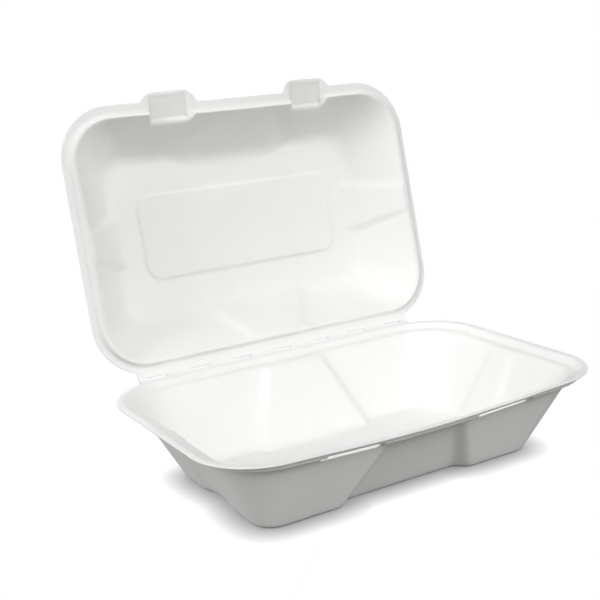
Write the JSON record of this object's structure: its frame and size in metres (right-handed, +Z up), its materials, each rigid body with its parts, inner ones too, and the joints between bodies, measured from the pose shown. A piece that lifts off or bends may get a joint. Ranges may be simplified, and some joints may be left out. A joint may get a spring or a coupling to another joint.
{
  "type": "takeaway food box",
  "caption": "Open clamshell food box pressed from white plant pulp: a deep tray and a shallower lid on a slitted fold, with lugs on the lid and slots in the tray's front.",
  "frame": {"origin": "underside of the tray's bottom, below the middle of the tray's rim", "axes": "+X along the fold, to the right seen from the front; -Y to the front with the slots; +Z up"},
  "size_m": [0.23, 0.2006, 0.197],
  "materials": {
    "pulp": "matte"
  },
  "bodies": {
    "tray": {"tray": "pulp"},
    "lid": {"lid": "pulp"}
  },
  "joints": [
    {"name": "lid_fold", "type": "hinge", "parent": "tray", "child": "lid", "pos_m": [0, 0.07585, 0.04515], "axis": [-1, 0, 0], "range_deg": [-102.5, 77.5]}
  ]
}
